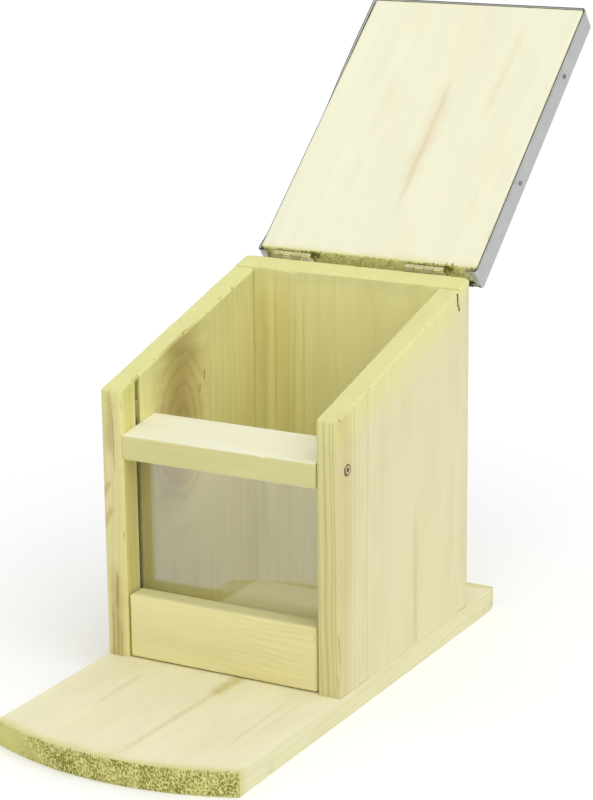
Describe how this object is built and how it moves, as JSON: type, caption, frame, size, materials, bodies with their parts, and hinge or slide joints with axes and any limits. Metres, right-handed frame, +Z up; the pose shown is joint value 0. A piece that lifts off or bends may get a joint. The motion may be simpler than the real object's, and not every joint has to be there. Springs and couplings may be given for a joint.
{
  "type": "squirrel feeder box",
  "caption": "Wooden squirrel feeder: an open-topped nut box on a base plank, with a clear front pane held in grooves and a hinged lid covered in folded zinc-coated sheet, shown open.",
  "frame": {"origin": "on the plank's underside, on the centre line of the box, below the box's front face", "axes": "+X to the right seen from the front, +Y to the rear along the plank, +Z up"},
  "size_m": [0.1334, 0.3978, 0.3066],
  "materials": {
    "pine_board": "sawn and planed pale yellow-green treated pine, bare, matt",
    "pine_lid": "planed very pale treated pine, bare, matt",
    "zinc_sheet": "dull zinc-coated steel sheet",
    "pale_brass": "pale brass plating, satin",
    "zinc_steel": "zinc-plated steel, satin",
    "clear_plastic": "clear glossy sheet"
  },
  "bodies": {
    "box": {"base_plank": "pine_board", "left_side_panel": "pine_board", "right_side_panel": "pine_board", "back_panel": "pine_board", "bottom_rail": "pine_board", "top_rail": "pine_board", "window_pane": "clear_plastic", "left_hinge_box_leaf": "pale_brass", "left_hinge_pin": "pale_brass", "right_hinge_box_leaf": "pale_brass", "right_hinge_pin": "pale_brass", "top_rail_screw_left": "zinc_steel", "left_panel_base_screw_front": "zinc_steel", "left_panel_base_screw_rear": "zinc_steel", "back_panel_base_screw_left": "zinc_steel", "bottom_rail_base_screw_left": "zinc_steel", "back_panel_left_screw_low": "zinc_steel", "back_panel_left_screw_middle": "zinc_steel", "back_panel_left_screw_high": "zinc_steel", "left_hinge_box_screw_left": "pale_brass", "left_hinge_box_screw_right": "pale_brass", "top_rail_screw_right": "zinc_steel", "right_panel_base_screw_front": "zinc_steel", "right_panel_base_screw_rear": "zinc_steel", "back_panel_base_screw_right": "zinc_steel", "bottom_rail_base_screw_right": "zinc_steel", "back_panel_right_screw_low": "zinc_steel", "back_panel_right_screw_middle": "zinc_steel", "back_panel_right_screw_high": "zinc_steel", "right_hinge_box_screw_left": "pale_brass", "right_hinge_box_screw_right": "pale_brass"},
    "lid": {"lid_board": "pine_lid", "lid_cover": "zinc_sheet", "left_hinge_lid_leaf": "pale_brass", "right_hinge_lid_leaf": "pale_brass", "left_hinge_lid_screw_left": "pale_brass", "left_hinge_lid_screw_right": "pale_brass", "lid_cover_left_nail_rear": "zinc_steel", "lid_cover_left_nail_front": "zinc_steel", "lid_cover_front_nail_left": "zinc_steel", "right_hinge_lid_screw_left": "pale_brass", "right_hinge_lid_screw_right": "pale_brass", "lid_cover_right_nail_rear": "zinc_steel", "lid_cover_right_nail_front": "zinc_steel", "lid_cover_front_nail_right": "zinc_steel"}
  },
  "joints": [
    {"name": "lid_hinge", "type": "hinge", "parent": "box", "child": "lid", "pos_m": [0, 0.1442, 0.18863], "axis": [1, 0, 0], "range_deg": [0, 154.6]}
  ]
}
